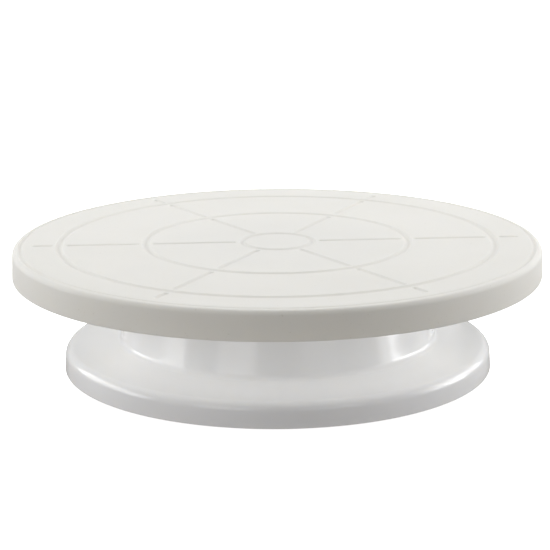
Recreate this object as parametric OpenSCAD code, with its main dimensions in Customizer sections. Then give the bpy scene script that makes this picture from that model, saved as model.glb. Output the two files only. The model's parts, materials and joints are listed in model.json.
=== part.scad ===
// Cake turntable: a grooved plate that turns on a caged ball race above a flared base.
// Sizes are in millimetres. +Z is up, and the origin is on the table under the plate's centre.

/* [Plate] */
// Diameter across the foot of the plate's skirt
plate_d = 280; // [270:1:300]
// Height of the plate's top face above the table
stand_h = 68; // [68:0.5:74]
// Thickness of the plate's flat deck
deck_t = 2.6; // [2.4:0.1:3]
// Depth of the skirt that hangs from the deck's edge
skirt_h = 15.2; // [14:0.1:16]
// Thickness of the skirt at its foot
skirt_t = 2; // [1.6:0.1:2.4]
// Radius of the rounded edge between deck and skirt
rim_round = 2.8; // [2:0.1:3.2]
// Number of stiffening ribs under the deck
plate_ribs = 12; // [6:1:16]
// Depth of those ribs below the deck
plate_rib_h = 5; // [3:0.5:5.5]

/* [Guide grooves] */
// Diameters of the three centring rings, from the middle outwards
guide_ring_d = [37, 139, 230]; // [30:1:240]
// Number of radial guide lines
guide_lines = 6; // [4:1:12]
// Angle of the first guide line from +X
guide_turn = 3.5; // [0:0.5:10]
// Distance from the centre at which a guide line ends
guide_reach = 129.5; // [120:0.5:131]
// Width of a centring ring
ring_groove_w = 4.6; // [3:0.1:5]
// Width of a guide line
line_groove_w = 4; // [3:0.1:5]
// Plain deck left between a guide line's end and a ring
guide_gap = 0.5; // [0.3:0.1:4]
// Depth of the rings and lines
groove_depth = 0.8; // [0.4:0.1:1]

/* [Base] */
// Diameter across the foot of the base
base_d = 227.5; // [224:0.5:232]
// Wall thickness of the base
base_t = 2.4; // [2:0.1:2.8]
// Radius where the column meets the foot flange
column_r = 83.5; // [80:0.5:86]
// Height of that corner above the table
crease_h = 17; // [16:0.5:19]
// Lean of the column's wall from the vertical
column_lean = 14.5; // [10:0.5:16]
// Radius of the fillet between the column and the foot flange
crease_fillet = 4; // [1:0.5:5]
// Depth of the well in the column's top that shields the ball race
well_depth = 5.5; // [4:0.5:6]
// Radius of the foot flange's rounded edge
flange_round = 5; // [4:0.5:6]
// How far the foot ring lifts the base off the table
foot_proud = 1.5; // [1:0.1:2]
// Number of tapered ribs inside the column
column_ribs = 8; // [4:4:8]
// Number of short ribs under the foot flange
flange_ribs = 16; // [8:1:24]

/* [Ball race] */
// Diameter of one ball
ball_d = 6; // [5:0.5:6.5]
// Number of balls
ball_count = 16; // [8:1:20]
// Diameter of the circle that the balls run on
pitch_d = 96; // [92:1:100]
// Radial width of a race ring
race_w = 10; // [9:0.5:11]
// Thickness of a race ring
race_t = 3.2; // [3:0.1:3.2]

/* [Spindle] */
// Diameter of the steel spindle
spindle_d = 8; // [6:0.5:8]
// Number of screws that hold the spindle hub
hub_screw_count = 6; // [3:1:6]
// Diameter of the circle those screws lie on
hub_screw_pcd = 60; // [54:1:60]

/* [Hidden] */
$fn = 96;

// Clearances between solids: pressed together, running shaft, and parts that stay clear of each other.
press_gap = 0.02;
running_gap = 0.05;
free_gap = 0.12;

// Plate
plate_r = plate_d / 2;
skirt_draft = 0.4;
skirt_top_t = 2.4;
skirt_foot_round = 0.8;
deck_under = stand_h - deck_t;
skirt_foot = stand_h - skirt_h;
inner_fillet = 2;
rib_t = 1.8;
rib_ring_r = 100;
// How far ribs, pads and bosses reach into the wall that they stand on
bite = 0.5;
// The plate is one moulding. It is drawn as a deck and a skirt that meet on this radius.
deck_edge_r = plate_r - 6.5;
// The shallow ring that sets off the rim, its distance from the edge, width and depth
rim_groove_inset = 4.5;
rim_groove_w = 3;
rim_groove_depth = 0.5;

// Heights down through the middle of the stand
race_seat_drop = 4.6;
plate_race_seat = deck_under - race_seat_drop;
race_gap = 3.2;
ball_z = plate_race_seat - race_t - race_gap / 2;
base_race_seat = ball_z - race_gap / 2 - race_t;
race_pad_h = 1.2;
well_floor = base_race_seat - race_pad_h;
column_top = well_floor + well_depth;

// Ball race
ball_r = ball_d / 2;
pitch_r = pitch_d / 2;
ball_lift = 0.06;
race_groove_r = ball_r + 0.15;
race_inner_r = pitch_r - race_w / 2;
race_outer_r = pitch_r + race_w / 2;
race_lip_t = 1.9;
race_lip_h = 1.5;
cage_t = 2.4;
cage_w = race_w - 1;

// Hub and spindle
hub_r = 36;
hub_flange_t = 3;
hub_boss_r = 9;
hub_floor = plate_race_seat - hub_flange_t;
hub_boss_foot = well_floor + 2.6;
hub_rib_t = 2;
hub_rib_h = 2.5;
spindle_r = spindle_d / 2;
spindle_head_r = 7;
spindle_head_t = 2;
spindle_foot = 13.5;
spindle_hole_depth = 13.5;
hub_screw_r = 1.5;
hub_screw_head_r = 2.9;
hub_screw_head_h = 1.9;
hub_screw_length = 8;
screw_bite = hub_screw_length - hub_flange_t;
screw_tip_room = 0.2;
screw_boss_r = 4;
screw_turn = guide_turn + 180 / hub_screw_count;

// Base. It is one moulding, drawn as a column, a flange that meets it on column_r, and a tube with ribs.
base_r = base_d / 2;
base_draft = 0.4;
base_foot_round = 0.8;
flange_edge_r = base_r - base_draft - flange_round;
flange_edge_h = foot_proud + 8;
// Slope of the flange's top, which runs from the crease to meet the rounded edge smoothly
flange_run = flange_edge_r - column_r;
flange_drop = crease_h - flange_edge_h;
flange_angle = atan(flange_drop / flange_run) - asin(flange_round / norm([flange_run, flange_drop]));
tube_r = 10;
tube_bore_r = 7;
tube_foot = 16;
column_roof = well_floor - base_t;
column_rib_t = 2;
column_rib_inner_h = 14;
column_rib_outer_h = 5;

// Foot ring and the channel that holds it
foot_ring_mid_r = 106.5;
foot_ring_w = 6;
foot_ring_h = 3.5;
channel_wall = 1.6;
channel_roof = foot_ring_h + 2;

// Bushes, washers and the screw that holds the spindle down
bush_flange_r = 9.5;
bush_flange_t = 1.5;
bush_length = 12;
washer_r = 9;
thrust_washer_t = 0.8;
thrust_washer_gap = 0.1;
thrust_washer_slack = 0.2;
retaining_washer_t = 1.2;
lock_washer_r = 4.4;
lock_washer_t = 1.2;
lock_washer_split = 1;
screw_r = 2.5;
screw_head_r = 4.6;
screw_head_h = 2.8;
screw_reach = 11.5;
screw_seat = spindle_foot - retaining_washer_t - lock_washer_t;
cap_wall = 2;
cap_floor = 1.6;
cap_foot = 5.5;
cap_top = 19;

plastic_warm = [0.91, 0.90, 0.88];
plastic_cool = [0.92, 0.93, 0.94];

// Points along an arc about c, from angle a0 to a1.
function arc(c, r, a0, a1, steps = 8) =
    [for (i = [0:steps]) let (a = a0 + (a1 - a0) * i / steps) c + r * [cos(a), sin(a)]];

// Radius of the circle whose cap is w across and d deep.
function cap_radius(w, d) = (w * w / 4 + d * d) / (2 * d);

// Radius of the column's outer wall at height z.
function wall_r(z) = column_r - tan(column_lean) * (z - crease_h);

// Radius of the column's inner wall at height z.
function inner_wall_r(z) = wall_r(z) - base_t / cos(column_lean);

function two_digits(i) = str(i < 10 ? "0" : "", i);
function ball_name(i) = str("bearing_ball_", two_digits(i));

// A flat ring between two radii, from z0 up to z1.
module ring(inner, outer, z0, z1) {
    translate([0, 0, z0])
        difference() {
            cylinder(r = outer, h = z1 - z0);
            translate([0, 0, -1]) cylinder(r = inner, h = z1 - z0 + 2);
        }
}

// Copies at equal steps round the axis, the first one at angle turn.
module around(count, turn = 0) {
    for (i = [0:count - 1]) rotate([0, 0, turn + i * 360 / count]) children();
}

// Pan head with a cross recess, its flat face at z = 0 and its crown below.
module pan_head(r, h) {
    slot_w = r * 0.26;
    slot_l = r * 1.15;
    difference() {
        rotate_extrude()
            polygon(concat([[0, 0], [r, 0]], arc([r - 0.6 * h, -0.4 * h], 0.6 * h, 0, -90), [[0, -h]]));
        for (a = [0, 90]) rotate([0, 0, a])
            translate([-slot_l / 2, -slot_w / 2, -h - 1]) cube([slot_l, slot_w, 1 + h * 0.6]);
    }
}

// ---------------------------------------------------------------- plate and what turns with it

// Cutter for a ring groove with a round bottom, in the deck's top face.
module ring_groove(d, w, depth) {
    r = cap_radius(w, depth);
    rotate_extrude() translate([d / 2, stand_h + r - depth]) circle(r = r, $fn = 48);
}

// Cutter for one stretch of a guide line, along +X from radius a to radius b, with round ends.
module line_groove(a, b) {
    r = cap_radius(line_groove_w, groove_depth);
    end = line_groove_w / 2;
    translate([a + end, 0, stand_h + r - groove_depth]) {
        rotate([0, 90, 0]) cylinder(r = r, h = b - a - 2 * end);
        sphere(r = r);
        translate([b - a - 2 * end, 0, 0]) sphere(r = r);
    }
}

// Cutters for one guide line, which stops short of each ring on both sides.
module guide_line() {
    clear = ring_groove_w / 2 + guide_gap;
    for (i = [0:len(guide_ring_d) - 1]) {
        last = i == len(guide_ring_d) - 1;
        line_groove(guide_ring_d[i] / 2 + clear, last ? guide_reach : guide_ring_d[i + 1] / 2 - clear);
    }
}

// Radial ribs under the deck, from the race's seat to the skirt, each a little way into the deck.
module plate_rib_bars() {
    skirt_inner_r = plate_r - skirt_draft - skirt_top_t;
    around(plate_ribs, 180 / plate_ribs)
        translate([race_outer_r, -rib_t / 2, deck_under - plate_rib_h])
            cube([skirt_inner_r + skirt_top_t / 2 - race_outer_r, rib_t, plate_rib_h + bite]);
}

// The skirt, its rounded rim, and the strip of deck and the rib ends outside deck_edge_r.
module plate_skirt() {
    top_r = plate_r - skirt_draft;
    inner_r = top_r - skirt_top_t;
    foot_inner_r = plate_r - skirt_t;
    color(plastic_warm)
        difference() {
            union() {
                difference() {
                    plate_rib_bars();
                    cylinder(r = deck_edge_r, h = stand_h, $fn = 180);
                }
                rotate_extrude($fn = 180)
                    polygon(concat(
                        [[deck_edge_r, stand_h]],
                        arc([top_r - rim_round, stand_h - rim_round], rim_round, 90, 0),
                        arc([plate_r, skirt_foot] + skirt_foot_round * [-1, 1], skirt_foot_round, 0, -90, 4),
                        [[foot_inner_r, skirt_foot]],
                        arc([inner_r - inner_fillet, deck_under - inner_fillet], inner_fillet, 0, 90, 5),
                        [[deck_edge_r, deck_under]]));
            }
            ring_groove(plate_d - 2 * rim_groove_inset, rim_groove_w, rim_groove_depth);
        }
}

// Ribs, seats and bosses under the deck.
module plate_underside() {
    top = deck_under + bite;
    lip_foot = plate_race_seat - race_lip_h;
    lip_r = race_outer_r + press_gap;
    pad_inset = 0.5;
    pad_w = 2;
    head_pad = [spindle_head_r - 2, spindle_head_r + 1.5];
    intersection() {
        plate_rib_bars();
        cylinder(r = deck_edge_r, h = stand_h, $fn = 180);
    }
    ring(rib_ring_r, rib_ring_r + rib_t, deck_under - plate_rib_h, top);
    ring(race_inner_r + pad_inset, race_inner_r + pad_inset + pad_w, plate_race_seat, top);
    ring(race_outer_r - pad_inset - pad_w, race_outer_r - pad_inset, plate_race_seat, top);
    ring(lip_r, lip_r + race_lip_t, lip_foot, top);
    ring(hub_r + press_gap, hub_r + rib_t, lip_foot, top);
    ring(head_pad[0], head_pad[1], plate_race_seat, top);
    around(hub_screw_count, screw_turn)
        translate([hub_screw_pcd / 2, 0, plate_race_seat])
            cylinder(r = screw_boss_r, h = top - plate_race_seat);
}

module plate_deck() {
    color(plastic_warm)
        difference() {
            union() {
                translate([0, 0, deck_under]) cylinder(r = deck_edge_r, h = deck_t, $fn = 180);
                plate_underside();
            }
            for (d = guide_ring_d) ring_groove(d, ring_groove_w, groove_depth);
            around(guide_lines, guide_turn) guide_line();
            around(hub_screw_count, screw_turn)
                translate([hub_screw_pcd / 2, 0, plate_race_seat - 1])
                    cylinder(r = hub_screw_r + press_gap, h = 1 + screw_bite + screw_tip_room, $fn = 48);
        }
}

// Flanged hub under the deck that carries the spindle.
module spindle_hub() {
    color(plastic_cool)
        difference() {
            union() {
                translate([0, 0, hub_floor]) cylinder(r = hub_r, h = hub_flange_t);
                translate([0, 0, hub_boss_foot]) cylinder(r = hub_boss_r, h = hub_floor - hub_boss_foot + bite);
                around(hub_screw_count, screw_turn + 180 / hub_screw_count)
                    translate([0, -hub_rib_t / 2, hub_floor - hub_rib_h])
                        cube([hub_r - 3, hub_rib_t, hub_rib_h + bite]);
            }
            translate([0, 0, hub_boss_foot - 1])
                cylinder(r = spindle_r + press_gap, h = plate_race_seat - hub_boss_foot + 2);
            translate([0, 0, plate_race_seat - spindle_head_t])
                cylinder(r = spindle_head_r + press_gap, h = spindle_head_t + 1);
            around(hub_screw_count, screw_turn)
                translate([hub_screw_pcd / 2, 0, hub_floor - 1])
                    cylinder(r = hub_screw_r + free_gap, h = hub_flange_t + 2, $fn = 48);
        }
}

// Headed steel pin, tapped at its foot for the retaining screw.
module spindle() {
    head_foot = plate_race_seat - spindle_head_t;
    chamfer = 0.5;
    color([0.75, 0.76, 0.78])
        difference() {
            union() {
                translate([0, 0, head_foot]) cylinder(r = spindle_head_r, h = spindle_head_t);
                translate([0, 0, spindle_foot + chamfer])
                    cylinder(r = spindle_r, h = head_foot - spindle_foot);
                translate([0, 0, spindle_foot]) cylinder(r1 = spindle_r - chamfer, r2 = spindle_r, h = chamfer);
            }
            translate([0, 0, spindle_foot - 1]) cylinder(r = screw_r, h = spindle_hole_depth + 1, $fn = 48);
        }
}

// A race ring whose groove faces up, its back face at z = 0.
module race_ring() {
    edge = 0.4;
    color([0.78, 0.79, 0.8])
        rotate_extrude($fn = 144)
            difference() {
                polygon([[race_inner_r, 0], [race_outer_r, 0],
                         [race_outer_r, race_t - edge], [race_outer_r - edge, race_t],
                         [race_inner_r + edge, race_t], [race_inner_r, race_t - edge]]);
                translate([pitch_r, race_t + race_gap / 2 + race_groove_r - ball_r - ball_lift])
                    circle(r = race_groove_r, $fn = 64);
            }
}

module upper_race() {
    translate([0, 0, plate_race_seat]) mirror([0, 0, 1]) race_ring();
}

module hub_screws() {
    color([0.8, 0.8, 0.78])
        around(hub_screw_count, screw_turn)
            translate([hub_screw_pcd / 2, 0, hub_floor]) {
                pan_head(hub_screw_head_r, hub_screw_head_h);
                cylinder(r = hub_screw_r, h = hub_screw_length, $fn = 48);
            }
}

module retaining_washer() {
    color([0.7, 0.71, 0.73])
        ring(screw_r + free_gap, washer_r, spindle_foot - retaining_washer_t, spindle_foot);
}

// Spring washer: a ring with one split.
module lock_washer() {
    color([0.45, 0.46, 0.48])
        difference() {
            ring(screw_r + free_gap, lock_washer_r, screw_seat, screw_seat + lock_washer_t);
            translate([0, -lock_washer_split / 2, screw_seat - 1])
                cube([lock_washer_r + 1, lock_washer_split, lock_washer_t + 2]);
        }
}

module retaining_screw() {
    color([0.8, 0.8, 0.78])
        translate([0, 0, screw_seat]) {
            pan_head(screw_head_r, screw_head_h);
            cylinder(r = screw_r - press_gap, h = screw_reach + lock_washer_t + retaining_washer_t, $fn = 48);
        }
}

// ---------------------------------------------------------------- balls and cage

module at_ball(i) {
    rotate([0, 0, (i - 1) * 360 / ball_count]) translate([pitch_r, 0, ball_z]) children();
}

// Flat ring with a round pocket for each ball, narrower at both faces so that it holds them.
module ball_cage() {
    color([0.95, 0.93, 0.85])
        difference() {
            ring(pitch_r - cage_w / 2, pitch_r + cage_w / 2, ball_z - cage_t / 2, ball_z + cage_t / 2);
            for (i = [1:ball_count]) at_ball(i) sphere(r = ball_r + free_gap);
        }
}

module bearing_ball(i) {
    color([0.85, 0.86, 0.88]) at_ball(i) sphere(r = ball_r);
}

// ---------------------------------------------------------------- base and what stays with it

// Section through the base's wall: a sloping column with a shallow well in its top, spread into a flange.
module base_section() {
    wall_out = [cos(column_lean), sin(column_lean)];
    flange_out = [sin(flange_angle), cos(flange_angle)];
    crease = [column_r, crease_h];
    to_both = (wall_out + flange_out) / (1 + wall_out * flange_out);
    lip_round = base_t / 2;
    lip_h = column_top - lip_round;
    lip_r = wall_r(lip_h + lip_round * sin(column_lean)) - lip_round * cos(column_lean);
    outer = concat(
        [[0, well_floor], [inner_wall_r(well_floor), well_floor]],
        arc([lip_r, lip_h], lip_round, 180 + column_lean, column_lean, 6),
        arc(crease + crease_fillet * to_both, crease_fillet, 180 + column_lean, 270 - flange_angle, 5),
        arc([flange_edge_r, flange_edge_h], flange_round, 90 - flange_angle, 0),
        arc([base_r - base_foot_round, foot_proud + base_foot_round], base_foot_round, 0, -90, 4));
    inner = concat(
        [[base_r - base_t, foot_proud]],
        arc([flange_edge_r, flange_edge_h], flange_round - base_t, 0, 90 - flange_angle, 4),
        [crease - base_t * to_both, [inner_wall_r(column_roof), column_roof], [0, column_roof]]);
    polygon(concat(outer, inner));
}

// The part of that section between two radii, spun round the axis.
module base_wall(inner, outer) {
    rotate_extrude($fn = 180)
        intersection() {
            base_section();
            translate([inner, 0]) square([outer - inner, stand_h]);
        }
}

// Raised pad and lip that seat and centre the lower race.
module race_pad() {
    lip_r = race_outer_r + press_gap;
    ring(race_inner_r - 0.5, lip_r + race_lip_t, well_floor - bite, base_race_seat);
    ring(lip_r, lip_r + race_lip_t, well_floor - bite, base_race_seat + race_lip_h);
}

module base_column() {
    color(plastic_cool) {
        base_wall(tube_bore_r, column_r);
        race_pad();
    }
}

// Short rib under the foot flange, along +X, from the column's edge to the foot ring's channel.
module flange_rib() {
    inner = column_r - 1;
    outer = foot_ring_mid_r - foot_ring_w / 2;
    roof = crease_h - base_t / 2;
    drop = (outer - inner) * tan(flange_angle);
    translate([0, rib_t / 2, 0])
        rotate([90, 0, 0])
            linear_extrude(rib_t)
                polygon([[inner, crease_h - 9], [outer, foot_proud + 1.5],
                         [outer, roof - drop], [inner, roof]]);
}

// Channel under the flange that the foot ring is pushed into.
module foot_channel() {
    inner = foot_ring_mid_r - foot_ring_w / 2 - press_gap;
    outer = foot_ring_mid_r + foot_ring_w / 2 + press_gap;
    foot = foot_proud + 0.5;
    roof = flange_edge_h + flange_round - base_t / 2;
    ring(inner - channel_wall, inner, foot, roof);
    ring(inner - bite, outer + bite, foot_ring_h, channel_roof);
    ring(outer, base_r - base_t + 0.2, foot, channel_roof);
}

module base_flange() {
    color(plastic_cool) {
        base_wall(column_r, base_r);
        foot_channel();
        difference() {
            around(flange_ribs, 180 / flange_ribs) flange_rib();
            cylinder(r = column_r, h = stand_h, $fn = 180);
        }
    }
}

// Tapered rib from the spindle tube out past the column's wall, along +X.
module column_rib() {
    translate([0, column_rib_t / 2, 0])
        rotate([90, 0, 0])
            linear_extrude(column_rib_t)
                polygon([[tube_r - 1, column_roof - column_rib_inner_h],
                         [column_r, column_roof - column_rib_outer_h],
                         [column_r, column_roof], [tube_r - 1, column_roof]]);
}

// Spindle tube and the ribs that brace it inside the column.
module base_tube() {
    rib_zone = column_rib_inner_h + 1;
    color(plastic_cool)
        difference() {
            union() {
                translate([0, 0, tube_foot]) cylinder(r = tube_r, h = column_roof - tube_foot);
                intersection() {
                    around(column_ribs, 180 / column_ribs) column_rib();
                    translate([0, 0, column_roof - rib_zone])
                        cylinder(r1 = inner_wall_r(column_roof - rib_zone), r2 = inner_wall_r(column_roof),
                                 h = rib_zone, $fn = 180);
                }
            }
            translate([0, 0, tube_foot - 1]) cylinder(r = tube_bore_r, h = well_floor - tube_foot + 2);
        }
}

// Rubber ring that the stand rests on.
module foot_ring() {
    edge = 0.8;
    inner = foot_ring_mid_r - foot_ring_w / 2;
    outer = foot_ring_mid_r + foot_ring_w / 2;
    color([0.75, 0.76, 0.77])
        rotate_extrude($fn = 144)
            polygon([[inner + edge, 0], [outer - edge, 0], [outer, edge], [outer, foot_ring_h],
                     [inner, foot_ring_h], [inner, edge]]);
}

module lower_race() {
    translate([0, 0, base_race_seat]) race_ring();
}

// Flanged sleeve, its flange's seating face at z = 0 and its sleeve below.
module flanged_bush() {
    color([0.93, 0.91, 0.84])
        difference() {
            union() {
                cylinder(r = bush_flange_r, h = bush_flange_t);
                translate([0, 0, -bush_length]) cylinder(r = tube_bore_r - press_gap, h = bush_length + 0.5);
            }
            translate([0, 0, -bush_length - 1])
                cylinder(r = spindle_r + running_gap, h = bush_length + bush_flange_t + 2);
        }
}

module upper_bush() {
    translate([0, 0, well_floor]) flanged_bush();
}

module lower_bush() {
    translate([0, 0, tube_foot]) mirror([0, 0, 1]) flanged_bush();
}

module thrust_washer() {
    top = tube_foot - bush_flange_t - thrust_washer_gap;
    color([0.3, 0.32, 0.35]) ring(spindle_r + thrust_washer_slack, washer_r, top - thrust_washer_t, top);
}

// Cap that closes the foot of the spindle tube over the retaining screw.
module dust_cap() {
    bore = tube_r + press_gap;
    outer = bore + cap_wall;
    edge = 1.2;
    color(plastic_cool)
        rotate_extrude()
            polygon(concat(
                [[0, cap_foot]],
                arc([outer - edge, cap_foot + edge], edge, -90, 0, 5),
                [[outer, cap_top], [bore, cap_top], [bore, cap_foot + cap_floor], [0, cap_foot + cap_floor]]));
}

plate_deck();
plate_skirt();
spindle_hub();
spindle();
upper_race();
hub_screws();
retaining_washer();
lock_washer();
retaining_screw();
ball_cage();
base_column();
base_flange();
base_tube();
foot_ring();
lower_race();
upper_bush();
lower_bush();
thrust_washer();
dust_cap();
for (i = [1:ball_count])
    bearing_ball(i);
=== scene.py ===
"""The looks of a cake turntable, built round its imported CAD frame.

Shapes are written in millimetres and become metres as each mesh is made. A piece takes its heights and
its outer radius from the CAD node that it replaces, and rides on that node's body.
"""
import json
import math

import bmesh
import bpy
from mathutils import Matrix, Vector


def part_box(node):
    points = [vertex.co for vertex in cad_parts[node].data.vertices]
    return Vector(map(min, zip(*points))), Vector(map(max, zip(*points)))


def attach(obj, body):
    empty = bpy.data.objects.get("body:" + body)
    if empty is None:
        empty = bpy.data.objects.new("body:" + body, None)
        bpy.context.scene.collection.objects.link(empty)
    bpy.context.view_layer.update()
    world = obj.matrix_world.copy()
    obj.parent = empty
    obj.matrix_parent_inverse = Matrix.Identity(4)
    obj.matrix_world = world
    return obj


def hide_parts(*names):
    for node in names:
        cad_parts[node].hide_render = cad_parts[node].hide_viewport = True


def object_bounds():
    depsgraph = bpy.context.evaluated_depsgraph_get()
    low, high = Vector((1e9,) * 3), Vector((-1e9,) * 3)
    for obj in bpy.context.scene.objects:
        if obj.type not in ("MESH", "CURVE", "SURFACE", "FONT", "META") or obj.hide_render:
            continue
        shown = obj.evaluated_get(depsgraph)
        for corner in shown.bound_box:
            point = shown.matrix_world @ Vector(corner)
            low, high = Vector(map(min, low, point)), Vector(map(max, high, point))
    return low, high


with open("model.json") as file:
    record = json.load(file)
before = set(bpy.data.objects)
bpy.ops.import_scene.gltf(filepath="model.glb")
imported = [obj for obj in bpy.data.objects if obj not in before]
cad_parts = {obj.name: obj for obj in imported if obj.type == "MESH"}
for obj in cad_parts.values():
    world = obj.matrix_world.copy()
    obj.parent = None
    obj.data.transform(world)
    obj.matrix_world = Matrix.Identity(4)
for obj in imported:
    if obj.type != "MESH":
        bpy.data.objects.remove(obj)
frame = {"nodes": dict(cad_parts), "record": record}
cad_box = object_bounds()
MM = 0.001
TURN = 2 * math.pi
SHARP = math.radians(32)
ON_AXIS = 1e-6


# ------------------------------------------------------------------ camera, floor and light

def place_camera():
    """A long lens that looks down on the deck from the front, a little rolled."""
    top = cad_box[1].z
    distance, aside = 1.0249, -0.0012
    rise, down, roll = math.radians(13.254), math.radians(14.258), -0.0065
    data = bpy.data.cameras.new("camera")
    data.sensor_width = 36
    data.lens = 126.42
    camera = bpy.data.objects.new("camera", data)
    camera.location = (aside, -distance * math.cos(rise), top + distance * math.sin(rise))
    tilt = Matrix.Rotation(math.pi / 2 - down, 4, "X") @ Matrix.Rotation(roll, 4, "Z")
    camera.rotation_euler = tilt.to_euler()
    bpy.context.scene.collection.objects.link(camera)
    bpy.context.scene.camera = camera


def softbox(name, azimuth, elevation, distance, size, level, shape="RECTANGLE", colour=(1, 1, 1)):
    """A soft light that faces the stand. Azimuth 0 is behind the stand, 90 is to its right, and level is
    the panel's output in watts for each square metre of it."""
    a, e = math.radians(azimuth), math.radians(elevation)
    data = bpy.data.lights.new(name, "AREA")
    data.shape = shape
    data.size, data.size_y = size
    data.energy = level * size[0] * size[1] * (math.pi / 4 if shape == "ELLIPSE" else 1)
    data.color = colour
    light = bpy.data.objects.new(name, data)
    towards = Vector((math.sin(a) * math.cos(e), math.cos(a) * math.cos(e), math.sin(e)))
    light.location = AIM + towards * distance
    light.rotation_euler = towards.to_track_quat("Z", "Y").to_euler()
    light.visible_camera = False
    bpy.context.scene.collection.objects.link(light)


AIM = Vector((0, 0, 0.04))
WORLD_LEVEL = 0.15
FLOOR_GLOW = 0.85
FLOOR_HALF = 30.0
# Name, azimuth, elevation, distance, size and level of each soft light
STUDIO = [
    ("top", 0, 90, 1.6, (1.4, 1.4), 3),
    ("top_back", 0, 48, 1.7, (1.8, 0.8), 8),
    ("back_left", -45, 15, 1.6, (1.0, 0.9), 1.2),
    ("back_mid", -6, 15, 1.6, (1.0, 0.9), 1.2),
    ("back_right", 32, 15, 1.6, (1.0, 0.9), 1.2),
    ("left_wide", -82, 15, 1.05, (1.15, 0.45), 10),
    ("left_mid", -72, 28, 1.3, (0.6, 0.4), 4),
    ("right_wide", 74, 15, 1.05, (1.15, 0.45), 8),
    ("right_mid", 72, 28, 1.3, (0.6, 0.4), 8),
    ("right_low", 80, 8, 1.1, (0.5, 0.25), 16),
    ("front_left", -150, 20, 1.6, (0.8, 0.6), 6),
    ("front_right", 150, 20, 1.6, (0.8, 0.6), 3),
    # The floor's light from below, and the light that the thin white deck lets through
    ("bounce", 0, -90, 0.043, (1.2, 1.2), 0.7, "RECTANGLE", (1.0, 0.93, 0.89)),
    ("deck_glow", 0, 90, 0.020, (0.268, 0.268), 1.2, "ELLIPSE"),
]


def light_the_stage():
    world = bpy.data.worlds.new("studio")
    world.use_nodes = True
    background = world.node_tree.nodes["Background"]
    background.inputs["Color"].default_value = (1.0, 1.0, 1.0, 1)
    background.inputs["Strength"].default_value = WORLD_LEVEL
    bpy.context.scene.world = world
    for row in STUDIO:
        softbox(*row)
    bpy.context.scene.view_settings.view_transform = "Standard"


def lay_floor():
    """A pale floor that takes a faint shadow and throws no light of its own on the object."""
    mesh = bpy.data.meshes.new("floor")
    corners = [(-1, -1), (1, -1), (1, 1), (-1, 1)]
    mesh.from_pydata([(x * FLOOR_HALF, y * FLOOR_HALF, 0) for x, y in corners], [], [(0, 1, 2, 3)])
    floor = bpy.data.objects.new("floor", mesh)
    bpy.context.scene.collection.objects.link(floor)
    floor.location.z = cad_box[0].z - 0.0002
    floor.visible_diffuse = False
    floor.visible_glossy = False
    floor.visible_shadow = False
    paint = Paint("floor_white", (0.8, 0.8, 0.8), roughness=0.9)
    paint.shader.inputs["Emission Color"].default_value = (1, 1, 1, 1)
    paint.shader.inputs["Emission Strength"].default_value = FLOOR_GLOW
    mesh.materials.append(paint.material)


# ------------------------------------------------------------------ materials

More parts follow.
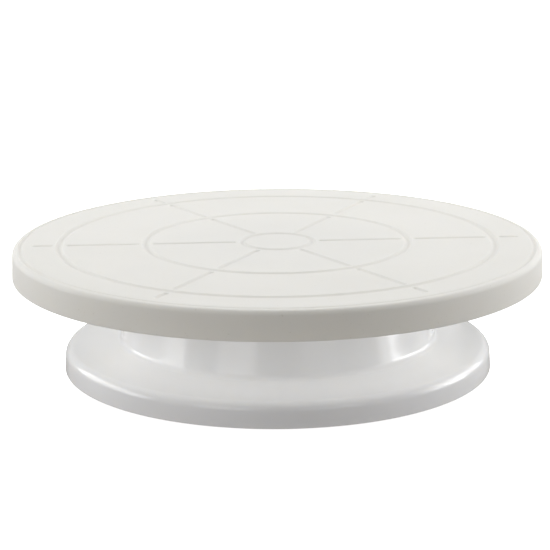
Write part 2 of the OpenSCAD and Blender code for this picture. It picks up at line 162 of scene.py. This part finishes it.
class Paint:
    """A Principled material whose colour, roughness and bump are built from procedural layers."""

    def __init__(self, name, colour, roughness, metallic=0.0, ior=1.5, deep_mm=0.0):
        self.material = bpy.data.materials.new(name)
        self.material.use_nodes = True
        self.tree = self.material.node_tree
        self.shader = self.tree.nodes["Principled BSDF"]
        self.shader.inputs["Base Color"].default_value = (*colour, 1)
        self.shader.inputs["Roughness"].default_value = roughness
        self.shader.inputs["Metallic"].default_value = metallic
        self.shader.inputs["IOR"].default_value = ior
        if deep_mm:
            self.shader.inputs["Subsurface Weight"].default_value = 1.0
            self.shader.inputs["Subsurface Radius"].default_value = (1.0, 0.97, 0.92)
            self.shader.inputs["Subsurface Scale"].default_value = deep_mm * MM
        self.colour = colour
        self.roughness = roughness
        self.place = self.tree.nodes.new("ShaderNodeTexCoord").outputs["Object"]
        self.normal = None

    def node(self, kind, **settings):
        made = self.tree.nodes.new(kind)
        for key, value in settings.items():
            setattr(made, key, value)
        return made

    def link(self, source, target):
        self.tree.links.new(source, target)

    def math(self, operation, a, b=None):
        made = self.node("ShaderNodeMath", operation=operation)
        for socket, value in zip(made.inputs, (a, b)):
            if isinstance(value, (int, float)):
                socket.default_value = value
            elif value is not None:
                self.link(value, socket)
        return made.outputs[0]

    def remap(self, source, low, high, to_low, to_high):
        made = self.node("ShaderNodeMapRange")
        self.link(source, made.inputs["Value"])
        for key, value in zip(("From Min", "From Max", "To Min", "To Max"), (low, high, to_low, to_high)):
            made.inputs[key].default_value = value
        return made.outputs["Result"]

    def noise(self, size_mm, detail=2.0, place=None, roughness=0.5):
        """Noise whose features are about size_mm across."""
        made = self.node("ShaderNodeTexNoise")
        self.link(place or self.place, made.inputs["Vector"])
        made.inputs["Scale"].default_value = 1000.0 / size_mm
        made.inputs["Detail"].default_value = detail
        made.inputs["Roughness"].default_value = roughness
        return made.outputs[0]

    def radius(self):
        """Distance from the spindle's axis, in metres."""
        parts = self.node("ShaderNodeSeparateXYZ")
        self.link(self.place, parts.inputs[0])
        squares = [self.math("MULTIPLY", parts.outputs[i], parts.outputs[i]) for i in (0, 1)]
        return self.math("SQRT", self.math("ADD", *squares)), parts.outputs[2]

    def turned(self, drift_mm=0.4):
        """Coordinates that change with radius and height and hardly at all round the axis."""
        r, z = self.radius()
        sway = self.noise(30, 1.0)
        made = self.node("ShaderNodeCombineXYZ")
        self.link(self.math("ADD", r, self.math("MULTIPLY", sway, drift_mm * MM)), made.inputs[0])
        self.link(z, made.inputs[1])
        return made.outputs[0]

    def tint(self, source, low, high, shade):
        """Mixes the base colour towards shade as source goes from low to high."""
        ramp = self.node("ShaderNodeMix", data_type="RGBA")
        self.link(self.remap(source, low, high, 0.0, 1.0), ramp.inputs["Factor"])
        if self.shader.inputs["Base Color"].is_linked:
            self.link(self.shader.inputs["Base Color"].links[0].from_socket, ramp.inputs["A"])
        else:
            ramp.inputs["A"].default_value = (*self.colour, 1)
        ramp.inputs["B"].default_value = (*shade, 1)
        self.link(ramp.outputs["Result"], self.shader.inputs["Base Color"])

    def gloss(self, source, low, high, change):
        """Adds up to change to the roughness as source goes from low to high."""
        added = self.remap(source, low, high, 0.0, change)
        socket = self.shader.inputs["Roughness"]
        before = socket.links[0].from_socket if socket.is_linked else self.roughness
        self.link(self.math("ADD", added, before), socket)

    def bump(self, source, depth_mm, strength=1.0):
        made = self.node("ShaderNodeBump")
        made.inputs["Strength"].default_value = strength
        made.inputs["Distance"].default_value = depth_mm * MM
        self.link(source, made.inputs["Height"])
        if self.normal:
            self.link(self.normal, made.inputs["Normal"])
        self.normal = made.outputs["Normal"]
        self.link(self.normal, self.shader.inputs["Normal"])


def plate_plastic():
    """Satin, warm white: a fine moulded grain, faint circular scuffs and painted shade in the grooves."""
    p = Paint("plate_plastic", (0.845, 0.835, 0.797), 0.52, deep_mm=2.0)
    p.shader.inputs["Specular IOR Level"].default_value = 0.2
    p.tint(p.noise(70, 2.0), 0.35, 0.7, (0.825, 0.816, 0.777))
    p.tint(p.noise(1.3, 1.0), 0.72, 0.8, (0.76, 0.745, 0.70))
    # Painted shade: the deck's grooves, below its level and inside the rim, are tinted darker to stand in for
    # the shade that falls in them.
    top, edge = cad_box[1].z, cad_box[1].x
    r, height = p.radius()
    sunk = p.remap(height, top - 0.1 * MM, top - 0.6 * MM, 0.0, 1.0)
    on_deck = p.math("LESS_THAN", r, edge - 3.2 * MM)
    above = p.math("GREATER_THAN", height, top - 1.5 * MM)
    p.tint(p.math("MULTIPLY", p.math("MULTIPLY", sunk, on_deck), above), 0.0, 1.0, (0.828, 0.818, 0.779))
    scuffs = p.noise(0.5, 3.0, p.turned(3.0))
    patches = p.noise(45, 2.0)
    p.gloss(p.math("MULTIPLY", scuffs, patches), 0.22, 0.42, 0.12)
    p.gloss(p.noise(9, 3.0), 0.4, 0.75, 0.05)
    p.bump(p.noise(0.45, 2.0), 0.010)
    p.bump(p.noise(14, 1.0), 0.03)
    return p.material


def base_plastic():
    """Glossy, cool white, with the slight waviness of a thick moulding and a few fine scratches."""
    p = Paint("base_plastic", (0.905, 0.91, 0.915), 0.12, deep_mm=2.0)
    p.tint(p.noise(60, 2.0), 0.35, 0.7, (0.89, 0.895, 0.90))
    p.gloss(p.noise(22, 3.0), 0.45, 0.8, 0.07)
    p.gloss(p.noise(0.25, 2.0, p.turned(2.0)), 0.68, 0.8, 0.12)
    p.bump(p.noise(24, 1.0), 0.05)
    p.bump(p.noise(0.8, 2.0), 0.0015)
    return p.material


def moulded_plastic(name, colour, roughness):
    """Plain inner moulding: an even grain, slight flow marks and a little dust."""
    p = Paint(name, colour, roughness)
    p.tint(p.noise(18, 3.0), 0.4, 0.75, tuple(c * 0.95 for c in colour))
    p.gloss(p.noise(5, 3.0), 0.4, 0.8, 0.12)
    p.bump(p.noise(0.6, 2.0), 0.008)
    return p.material


def turned_steel(name, colour, roughness, streak_mm=0.12, stain=0.8):
    """Steel with fine turning marks round its axis and faint handling stains."""
    p = Paint(name, colour, roughness, metallic=1.0)
    marks = p.noise(streak_mm, 3.0, p.turned(0.2))
    p.tint(p.noise(6, 4.0), 0.45, 0.8, tuple(c * stain for c in colour))
    p.gloss(marks, 0.35, 0.75, 0.16)
    p.gloss(p.noise(4, 3.0), 0.5, 0.8, 0.10)
    p.bump(marks, 0.004)
    return p.material


def ball_steel():
    """Polished bearing steel with hairline scratches and a film of grease."""
    p = Paint("ball_steel", (0.78, 0.79, 0.81), 0.05, metallic=1.0)
    p.gloss(p.noise(1.2, 4.0), 0.5, 0.75, 0.10)
    p.tint(p.noise(2.2, 2.0), 0.55, 0.8, (0.62, 0.60, 0.55))
    p.bump(p.noise(0.12, 2.0), 0.0006)
    return p.material


def zinc_plate():
    """Bright zinc: a crystalline bloom and slightly rougher crests."""
    p = Paint("zinc_screw", (0.72, 0.73, 0.74), 0.26, metallic=1.0)
    bloom = p.noise(0.9, 4.0)
    p.tint(bloom, 0.4, 0.7, (0.60, 0.62, 0.60))
    p.gloss(bloom, 0.4, 0.75, 0.18)
    p.bump(p.noise(0.2, 2.0), 0.004)
    return p.material


def spring_steel():
    p = Paint("spring_steel", (0.11, 0.11, 0.12), 0.34, metallic=1.0)
    p.tint(p.noise(1.6, 3.0), 0.45, 0.75, (0.20, 0.19, 0.18))
    p.gloss(p.noise(0.7, 3.0), 0.4, 0.8, 0.2)
    p.bump(p.noise(0.15, 2.0), 0.004)
    return p.material


def foot_rubber():
    """Pale grey rubber, matt, with a fine grain and dirt picked up from the table."""
    p = Paint("foot_rubber", (0.47, 0.48, 0.49), 0.62)
    p.tint(p.noise(3.0, 4.0), 0.45, 0.8, (0.36, 0.36, 0.36))
    p.tint(p.noise(40, 2.0), 0.45, 0.8, (0.42, 0.42, 0.42))
    p.gloss(p.noise(2.0, 3.0), 0.4, 0.8, 0.18)
    p.bump(p.noise(0.35, 3.0), 0.02)
    return p.material


MATERIALS = {
    "plate_plastic": plate_plastic(),
    "base_plastic": base_plastic(),
    "hub_plastic": moulded_plastic("hub_plastic", (0.76, 0.765, 0.76), 0.42),
    "nylon": moulded_plastic("nylon", (0.80, 0.77, 0.66), 0.38),
    "bearing_polymer": moulded_plastic("bearing_polymer", (0.045, 0.05, 0.06), 0.45),
    "spindle_steel": turned_steel("spindle_steel", (0.62, 0.63, 0.65), 0.2),
    "race_steel": turned_steel("race_steel", (0.58, 0.59, 0.61), 0.24, 0.08, 0.75),
    "ball_steel": ball_steel(),
    "zinc_screw": zinc_plate(),
    "spring_steel": spring_steel(),
    "foot_rubber": foot_rubber(),
}
SLOT_OF = {row["node"]: row["material_slot"] for row in frame["record"]["subparts"]}
BODY_OF = {n: body for body, nodes in frame["record"]["behaviour"]["bodies"].items() for n in nodes}


# ------------------------------------------------------------------ mesh tools

def extent(node):
    """Lowest height, highest height and outer radius of a CAD node, in millimetres."""
    lo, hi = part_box(node)
    return lo.z / MM, hi.z / MM, max(hi.x, hi.y, -lo.x, -lo.y) / MM


def arc(centre, r, a0, a1, steps=8):
    """Points on an arc from angle a0 to a1, in degrees."""
    turn = [math.radians(a0 + (a1 - a0) * i / steps) for i in range(steps + 1)]
    return [(centre[0] + r * math.cos(a), centre[1] + r * math.sin(a)) for a in turn]


def new_object(name, mesh):
    made = bpy.data.objects.new(name, mesh)
    bpy.context.scene.collection.objects.link(made)
    return made


def closed_mesh(name, points, faces):
    """An object from points in mm and faces that close it, with every face turned outwards."""
    mesh = bpy.data.meshes.new(name)
    mesh.from_pydata([(x * MM, y * MM, z * MM) for x, y, z in points], [], faces)
    made = bmesh.new()
    made.from_mesh(mesh)
    bmesh.ops.recalc_face_normals(made, faces=made.faces)
    made.to_mesh(mesh)
    made.free()
    return new_object(name, mesh)


def mesh_from_rows(name, rows, close):
    """A mesh from rows of points in mm, each row a closed loop. A row of one point is a pole."""
    points, index = [], []
    for row in rows:
        index.append(range(len(points), len(points) + len(row)))
        points.extend(row)
    faces = []
    pairs = list(zip(index, index[1:]))
    if close:
        pairs.append((index[-1], index[0]))
    for a, b in pairs:
        n = max(len(a), len(b))
        for k in range(n if n > 1 else 0):
            j = (k + 1) % n
            loop = [a[k % len(a)], a[j % len(a)], b[j % len(b)], b[k % len(b)]]
            faces.append([v for i, v in enumerate(loop) if v != loop[i - 1]])
    return closed_mesh(name, points, faces)


def lathe(name, outline, columns=192):
    """A closed solid of revolution about Z. outline is a loop of (radius, height)."""
    turn = [TURN * k / columns for k in range(columns)]
    rows = []
    for r, z in outline:
        rows.append([(r * math.cos(a), r * math.sin(a), z) for a in turn] if r > ON_AXIS else [(0, 0, z)])
    on_axis = outline[0][0] < ON_AXIS and outline[-1][0] < ON_AXIS
    return mesh_from_rows(name, rows, close=not on_axis)


def end_to_end(n):
    """Faces of a bar whose two ends are loops of n points."""
    ends = [list(range(n)), list(range(2 * n - 1, n - 1, -1))]
    return ends + [[i, i + n, (i + 1) % n + n, (i + 1) % n] for i in range(n)]


def prism(name, outline, thickness):
    """A flat plate of the given thickness whose outline lies in the XZ plane, centred on Y."""
    half = thickness / 2
    return closed_mesh(name, [(x, y, z) for y in (-half, half) for x, z in outline], end_to_end(len(outline)))


def soften(piece, width, segments=2):
    """Rounds a tool's sharp edges before it is joined to anything."""
    made = bmesh.new()
    made.from_mesh(piece.data)
    edges = [e for e in made.edges if e.is_manifold and e.calc_face_angle() > SHARP]
    bmesh.ops.bevel(made, geom=edges, offset=width * MM, segments=segments, profile=0.5, affect="EDGES",
                    clamp_overlap=True)
    made.to_mesh(piece.data)
    made.free()
    return piece


def turned(piece, degrees, shift=(0, 0, 0)):
    """Moves a tool's mesh by shift, in mm, and then turns it about Z."""
    piece.data.transform(Matrix.Rotation(math.radians(degrees), 4, "Z")
                         @ Matrix.Translation(Vector(shift) * MM))
    return piece


def around(make, count, turn=0.0, shift=(0, 0, 0)):
    """count copies of the tool that make() gives, evenly round Z."""
    first = make()
    copies = [new_object(first.name, first.data.copy()) for i in range(count)]
    bpy.data.objects.remove(first)
    return [turned(copy, turn + 360 * i / count, shift) for i, copy in enumerate(copies)]


def pin_marks(count, turn, r, z):
    """Cutters for the shallow round marks that a mould's ejector pins leave in a face that looks down."""
    pin_r, depth = 2.5, 0.15
    mark = [(0, -1), (pin_r, -1), (pin_r, depth), (0, depth)]
    return around(lambda: lathe("pin_mark", mark, 32), count, turn, (r, 0, z))


def combine(piece, tools, operation="UNION"):
    """Joins closed tools to the piece, or cuts them from it. The tools are used up."""
    group = bpy.data.collections.new("tools")
    bpy.context.scene.collection.children.link(group)
    for tool in tools:
        group.objects.link(tool)
    modifier = piece.modifiers.new("combine", "BOOLEAN")
    modifier.operation = operation
    modifier.operand_type = "COLLECTION"
    modifier.collection = group
    modifier.solver = "MANIFOLD"
    bpy.context.view_layer.update()
    result = bpy.data.meshes.new_from_object(piece.evaluated_get(bpy.context.evaluated_depsgraph_get()))
    piece.modifiers.clear()
    piece.data = result
    for tool in tools:
        bpy.data.objects.remove(tool)
    bpy.data.collections.remove(group)
    return piece


def finish_piece(piece, node, *others):
    """Shades the piece, gives it the node's material and body, and lets it stand for the nodes."""
    piece.data.shade_smooth()
    piece.data.set_sharp_from_angle(angle=SHARP)
    slot = SLOT_OF[node]
    piece.data.materials.clear()
    piece.data.materials.append(MATERIALS[slot])
    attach(piece, BODY_OF[node])
    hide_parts(node, *others)


# ------------------------------------------------------------------ the plate

DECK_T = 2.6
SKIRT_T = 2.0
RIM_ROUND = 2.8
SKIRT_DRAFT = 0.4
RINGS = (18.5, 69.5, 115.0)
RING_HALF, LINE_HALF, GROOVE_DEPTH = 2.3, 2.0, 0.8
LINE_COUNT, LINE_TURN, LINE_GAP, LINE_REACH = 6, 3.5, 0.5, 129.5
RIM_RING, RIM_RING_HALF, RIM_RING_DEPTH = 135.5, 1.5, 0.5


def dip(u, depth):
    """Depth of a soft-edged groove at u, which runs from 0 in its middle to 1 at its edge."""
    return depth * (1 - u * u) ** 1.5 if u < 1 else 0.0


def line_stretches():
    """Radii between which each part of a guide line runs: it stops short of every ring."""
    clear = RING_HALF + LINE_GAP
    ends = [r - clear for r in RINGS[1:]] + [LINE_REACH]
    return [(r + clear, end) for r, end in zip(RINGS, ends)]


def groove_depth(r, offset):
    """Depth of the deck's pattern at radius r and at a distance from the nearest guide line."""
    found = [dip(abs(r - ring) / RING_HALF, GROOVE_DEPTH) for ring in RINGS]
    found.append(dip(abs(r - RIM_RING) / RIM_RING_HALF, RIM_RING_DEPTH))
    for start, end in line_stretches():
        past = max(start + LINE_HALF - r, r - end + LINE_HALF, 0.0)
        found.append(dip(math.hypot(past, offset) / LINE_HALF, GROOVE_DEPTH))
    return max(found)


def deck_radii(edge):
    """Radii of the deck's rows of points, close together wherever the surface bends."""
    found = {4.0, 9.0, 13.0, edge}
    shares = (0, 0.2, 0.4, 0.6, 0.75, 0.88, 1, 1.2)
    for ring in RINGS:
        found.update(ring + RING_HALF * s * f for s in (-1, 1) for f in shares)
    shares = (-1, -0.8, -0.6, -0.3, 0, 0.3, 0.6, 0.8)
    found.update(RIM_RING + RIM_RING_HALF * f for f in shares)
    shares = (0, 0.15, 0.35, 0.6, 1, 1.5)
    for start, end in line_stretches():
        found.update(r + s * LINE_HALF * f for r, s in ((start, 1), (end, -1)) for f in shares)
        steps = max(2, round((end - start) / 9))
        found.update(start + 4 + (end - start - 8) * i / steps for i in range(steps + 1))
    kept = []
    for r in sorted(found):
        if not kept or r - kept[-1] > 0.12:
            kept.append(r)
    return [r for r in kept if r <= edge]


def plate_columns():
    """For each column of points round the plate: the guide line's angle, the offset and the even turn."""
    across = [LINE_HALF * f for f in (-1.35, -1, -0.8, -0.6, -0.4, -0.2, 0, 0.2, 0.4, 0.6, 0.8, 1, 1.35)]
    between = 40
    columns = []
    for i in range(LINE_COUNT):
        columns += [(i, offset, 0.0) for offset in across]
        columns += [(i, None, (k + 1) / (between + 1)) for k in range(between)]
    return columns, across[-1]


def plate_point(column, widest, r):
    """Angle of a column at radius r, and its distance there from its own guide line."""
    line, offset, share = column
    base = math.radians(LINE_TURN) + TURN * line / LINE_COUNT
    span = max(r, RINGS[0])
    if offset is not None:
        return base + math.asin(offset / span), abs(offset)
    start = math.asin(widest / span)
    angle = start + (TURN / LINE_COUNT - 2 * start) * share
    return base + angle, 2 * widest


def deck_dip(x, y):
    """How far the deck's surface lies below its level at a point."""
    r = math.hypot(x, y)
    step = TURN / LINE_COUNT
    away = (math.atan2(y, x) - math.radians(LINE_TURN) + step / 2) % step - step / 2
    return groove_depth(r, r * math.sin(away))


def smooth_deck(plate, level, edge):
    """Gives the deck's corners the normals of the pattern's exact surface, so that it shades without facets.

    Every other corner gets a zero vector, which keeps the shading and the sharp edges that it has.
    """
    step = 0.02
    normals = []
    for vertex in plate.data.vertices:
        x, y, z = vertex.co / MM
        if z < level - GROOVE_DEPTH - 0.05 or math.hypot(x, y) > edge:
            normals.append((0, 0, 0))
            continue
        slope_x = (deck_dip(x + step, y) - deck_dip(x - step, y)) / (2 * step)
        slope_y = (deck_dip(x, y + step) - deck_dip(x, y - step)) / (2 * step)
        normals.append(Vector((slope_x, slope_y, 1)).normalized())
    plate.data.normals_split_custom_set([normals[loop.vertex_index] for loop in plate.data.loops])


def make_plate():
    foot, top, radius = extent("plate_skirt")
    deck_r = radius - SKIRT_DRAFT
    inner_r = deck_r - 2.4
    under = top - DECK_T
    columns, widest = plate_columns()
    rim = arc((deck_r - RIM_ROUND, top - RIM_ROUND), RIM_ROUND, 90, 0, 10)
    skirt = arc((radius - 0.8, foot + 0.8), 0.8, 0, -90, 5)
    inside = [(radius - SKIRT_T, foot)] + arc((inner_r - 2, under - 2), 2, 0, 90, 6)
    below = [(r, under) for r in (125, 110, 95, 80, 65, 50, 35, 20, 8)]
    rows = [[(0, 0, top)]]
    for r in deck_radii(deck_r - RIM_ROUND - 0.05):
        row = []
        for column in columns:
            angle, offset = plate_point(column, widest, r)
            row.append((r * math.cos(angle), r * math.sin(angle), top - groove_depth(r, offset)))
        rows.append(row)
    for r, z in rim + skirt + inside + below:
        angles = [plate_point(column, widest, r)[0] for column in columns]
        rows.append([(r * math.cos(a), r * math.sin(a), z) for a in angles])
    rows.append([(0, 0, under)])
    plate = mesh_from_rows("plate", rows, close=False)
    combine(plate, plate_underside(under, inner_r))
    combine(plate, pin_marks(12, 0, 82, under) + pin_marks(12, 0, 120, under), "DIFFERENCE")
    finish_piece(plate, "plate_deck", "plate_skirt")
    smooth_deck(plate, top, deck_r - RIM_ROUND - 0.1)


def rib_section(width, height, flare=0.9, sunk=0.6):
    """Section of a rib that hangs from height 0: a flared root, straight sides and a rounded foot."""
    half = width / 2
    right = [(half + flare, sunk)] + arc((half + flare, -flare), flare, 90, 180, 4)
    right += arc((half - 0.4, -height + 0.4), 0.4, 0, -90, 3)
    return right + [(-y, z) for y, z in reversed(right)]


def rib(width, height, length):
    """A rib along +X from the origin, hanging from height 0, sunk 0.6 mm into what it hangs from."""
    section = rib_section(width, height)
    return closed_mesh("rib", [(x, y, z) for x in (0, length) for y, z in section], end_to_end(len(section)))


def ring_rib(mid, width, height, top, columns=160):
    """A rib that runs all the way round at radius mid."""
    return lathe("ring_rib", [(mid + y, top + z) for y, z in rib_section(width, height)], columns)


def plate_underside(under, inner_r):
    """Ribs, seats and screw bosses below the deck, as closed tools."""
    race_foot, race_top, race_r = extent("upper_race")
    seat = under - race_top
    lip = under - race_top + 1.5
    tools = around(lambda: rib(1.8, 5.0, inner_r - race_r + 0.5), 12, 15, (race_r, 0, under))
    tools.append(ring_rib(100.9, 1.8, 5.0, under))
    tools.append(ring_rib(race_r + 0.97, 1.9, lip, under, 144))
    for mid in (race_r - 8.5, race_r - 1.5):
        tools.append(ring_rib(mid, 2.0, seat, under, 144))
    tools.append(ring_rib(36.9, 1.75, lip, under, 120))
    tools.append(ring_rib(6.75, 3.5, seat, under, 64))
    boss = [(0, 0.6), (5.4, 0.6), (5.4, 0)] + arc((5, -1), 1, 90, 180, 4) + [(4, -seat), (0, -seat)]
    tools += around(lambda: lathe("boss", boss, 48), LINE_COUNT, LINE_TURN + 180 / LINE_COUNT, (30, 0, under))
    return tools


# ------------------------------------------------------------------ the base

def make_base():
    top = extent("base_column")[1]
    foot, _, radius = extent("base_flange")
    race_r = extent("lower_race")[2]
    wall = 2.4
    lean = math.radians(14.5)
    crease = Vector((83.5, foot + 15.5))
    edge_r, edge_h, edge_round = radius - 0.4 - 5.0, foot + 8.0, 5.0
    run, drop = edge_r - crease.x, crease.y - edge_h
    slope = math.atan2(drop, run) - math.asin(edge_round / math.hypot(run, drop))
    well = top - 5.5
    roof = well - wall

    def wall_r(z):
        return crease.x - math.tan(lean) * (z - crease.y)

    def inner_r(z):
        return wall_r(z) - wall / math.cos(lean)

    wall_out = Vector((math.cos(lean), math.sin(lean)))
    flange_out = Vector((math.sin(slope), math.cos(slope)))
    both = (wall_out + flange_out) / (1 + wall_out.dot(flange_out))
    degrees, tip = math.degrees(lean), math.degrees(slope)
    lip = wall / 2
    lip_r = wall_r(top - lip + lip * math.sin(lean)) - lip * math.cos(lean)
    fillet = 4.0
    corner = crease + fillet * both
    column = [(wall_r(z), z) for z in (48, 42, 36, 30, 24)]
    flange = [crease.lerp(Vector((edge_r, edge_h)) + edge_round * flange_out, t) for t in (0.3, 0.5, 0.75)]
    outer = [(0, well), (race_r + 4, well), (inner_r(well) - 1, well)]
    outer += arc((inner_r(well) - 0.9, well + 1.1), 1.1, -90, degrees, 4)[1:]
    outer += arc((lip_r, top - lip), lip, 180 + degrees, degrees, 8) + column
    outer += arc(corner, fillet, 180 + degrees, 270 - tip, 12)
    outer += [tuple(p) for p in flange]
    outer += arc((edge_r, edge_h), edge_round, 90 - tip, 0, 12)
    outer += arc((radius - 0.8, foot + 0.8), 0.8, 0, -90, 5)
    inner = [(radius - wall, foot)] + arc((edge_r, edge_h), edge_round - wall, 0, 90 - tip, 6)
    bend = crease - wall * both
    inner += [tuple(bend), (inner_r(36), 36), (inner_r(roof - 1.5), roof - 1.5)]
    inner += [(inner_r(roof) - 1.5, roof), (0, roof)]
    base = lathe("base", outer + inner, 288)
    combine(base, base_inside(well, roof, wall_r, slope, crease))
    bore = lathe("bore", [(0, -5), (7, -5), (7, well + 5), (0, well + 5)], 96)
    combine(base, [bore] + pin_marks(8, 0, 30, roof) + pin_marks(8, 0, 60, roof), "DIFFERENCE")
    finish_piece(base, "base_column", "base_flange", "base_tube")


def base_inside(well, roof, wall_r, slope, crease):
    """Spindle tube, ribs, foot ring channel and race seat, as closed tools."""
    foot, _, radius = extent("base_flange")
    ring_top = extent("foot_ring")[1]
    race_foot, _, race_r = extent("lower_race")
    tube_foot = extent("lower_bush")[1] - 12
    sink = 0.6
    clear = 1.2
    tapered = [(9, roof - 14), (wall_r(roof - 5) - clear, roof - 5)]
    tapered += [(wall_r(roof) - clear, roof + sink), (9, roof + sink)]
    tools = around(lambda: soften(prism("column_rib", tapered, 2.0), 0.3), 8, 22.5)
    channel_in, channel_out = 103.48, 109.52
    inner, outer = 82.3, channel_in + 0.02
    drop = (outer - inner) * math.tan(slope)
    short = [(inner, crease.y - 9), (outer, foot + 1.5)]
    short += [(outer, crease.y - clear - drop), (inner, crease.y - clear)]
    tools += around(lambda: soften(prism("short_rib", short, 1.8), 0.3), 16, 11.25)
    tube = [(0, tube_foot), (9.6, tube_foot), (10, tube_foot + 0.4), (10, roof - 2)]
    tube += arc((12, roof - 2), 2, 180, 90, 5)[1:] + [(12, well - 0.5), (0, well - 0.5)]
    tools.append(lathe("tube", tube, 96))
    return tools + [lathe("rim", rim, 288) for rim in base_rims(
        foot, radius, ring_top, channel_in, channel_out, well, race_foot, race_r)]


def base_rims(foot, radius, ring_top, channel_in, channel_out, well, race_foot, race_r):
    """Outlines of the rims that form the foot ring's channel and the seat of the lower race."""
    lip, bite, under_well = 0.3, 0.5, well - 0.5
    fit, seat_wall = 0.02, 1.9
    seat_out = race_r + fit + seat_wall
    return [
        [(channel_in - 1.6, foot + 0.8), (channel_in - 1.3, foot + bite), (channel_in - lip, foot + bite),
         (channel_in, foot + 0.8), (channel_in, foot + 11.8), (channel_in - 1.6, foot + 11.8)],
        [(channel_in - bite, ring_top), (channel_out + bite, ring_top),
         (channel_out + bite, ring_top + 2), (channel_in - bite, ring_top + 2)],
        [(channel_out, foot + bite), (radius - 2.2, foot + bite), (radius - 2.2, ring_top + 2),
         (channel_out, ring_top + 2)],
        [(race_r - 10.5, under_well), (seat_out, under_well), (seat_out, race_foot),
         (race_r - 10.2, race_foot), (race_r - 10.5, race_foot - lip)],
        [(race_r + fit, under_well), (seat_out, under_well), (seat_out, race_foot + 1.2),
         (seat_out - lip, race_foot + 1.5), (race_r + fit + lip, race_foot + 1.5),
         (race_r + fit, race_foot + 1.2)],
    ]


# ------------------------------------------------------------------ foot ring and dust cap

def make_foot_ring():
    """The rubber ring, with four fine grooves round its tread and rounded edges."""
    foot, top, outer = extent("foot_ring")
    inner = outer - 6
    outline = arc((inner + 0.9, foot + 0.9), 0.9, 180, 270, 5)
    for mid in (inner + 1.7, inner + 2.4, inner + 3.6, inner + 4.3):
        outline += [(mid - 0.22, foot), (mid - 0.14, foot + 0.4)]
        outline += [(mid + 0.14, foot + 0.4), (mid + 0.22, foot)]
    outline += arc((outer - 0.9, foot + 0.9), 0.9, -90, 0, 5)
    outline += arc((outer - 0.3, top - 0.3), 0.3, 0, 90, 2)
    outline += arc((inner + 0.3, top - 0.3), 0.3, 90, 180, 2)
    finish_piece(lathe("foot_ring", outline, 288), "foot_ring")


def make_dust_cap():
    """The cap over the retaining screw: finger flutes round it and a sunk gate mark in its floor."""
    foot, top, outer = extent("dust_cap")
    bore = outer - 2
    outline = [(0, foot + 0.7), (0.9, foot + 0.7), (1.2, foot + 0.4), (2.6, foot + 0.4), (3.0, foot)]
    outline += arc((outer - 1.2, foot + 1.2), 1.2, -90, 0, 6)
    outline += arc((outer - 0.3, top - 0.3), 0.3, 0, 90, 2) + [(bore + 0.6, top), (bore, top - 0.9)]
    outline += [(bore, foot + 2.2), (bore - 0.6, foot + 1.6), (0, foot + 1.6)]
    cap = lathe("dust_cap", outline, 96)
    flute = [(0, foot - 1), (1, foot - 1), (1, top - 4)] + arc((0, top - 4), 1, 0, 90, 4)[1:]
    combine(cap, around(lambda: lathe("flute", flute, 20), 20, 9, (outer + 0.55, 0, 0)), "DIFFERENCE")
    finish_piece(cap, "dust_cap")


# ------------------------------------------------------------------ everything else

def keep_cad_nodes():
    """The rest of the nodes keep their CAD shape and take a detailed material."""
    for node, piece in frame["nodes"].items():
        if piece.hide_render:
            continue
        piece.data.materials.clear()
        piece.data.materials.append(MATERIALS[SLOT_OF[node]])


place_camera()
light_the_stage()
lay_floor()
make_plate()
make_base()
make_foot_ring()
make_dust_cap()
keep_cad_nodes()
